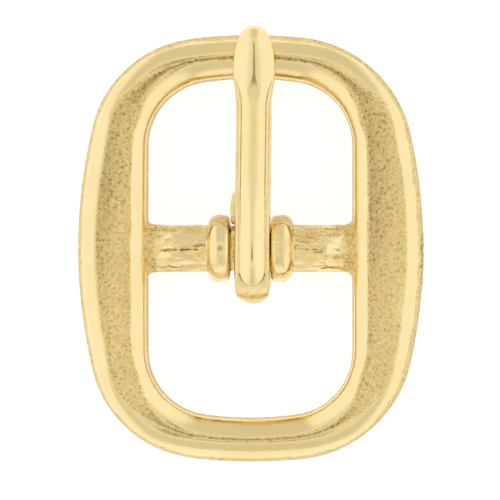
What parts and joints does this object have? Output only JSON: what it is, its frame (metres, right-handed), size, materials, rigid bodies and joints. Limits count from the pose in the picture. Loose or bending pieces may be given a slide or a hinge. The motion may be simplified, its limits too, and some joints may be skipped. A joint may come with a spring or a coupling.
{
  "type": "centre-bar buckle",
  "caption": "Cast centre-bar strap buckle: arched, rounded oblong frame, round cross bar with collars and a hinged tongue whose head rests on the end bar.",
  "frame": {"origin": "on the plane the back of the frame lies on, straight under the middle of the centre bar", "axes": "+X along the centre bar, to the right seen from the front with the tongue's tip up; +Y from the bar towards the tongue's tip; +Z out of the front"},
  "size_m": [0.0326, 0.0413, 0.0077],
  "materials": {
    "frame_brass": "lightly polished casting",
    "tongue_brass": "polished casting"
  },
  "bodies": {
    "frame": {"frame": "frame_brass"},
    "tongue": {"tongue": "tongue_brass"}
  },
  "joints": [
    {"name": "tongue_swing", "type": "hinge", "parent": "frame", "child": "tongue", "pos_m": [0.00012, 0, 0.0039], "axis": [1, 0, 0], "range_deg": [0, 172]}
  ]
}
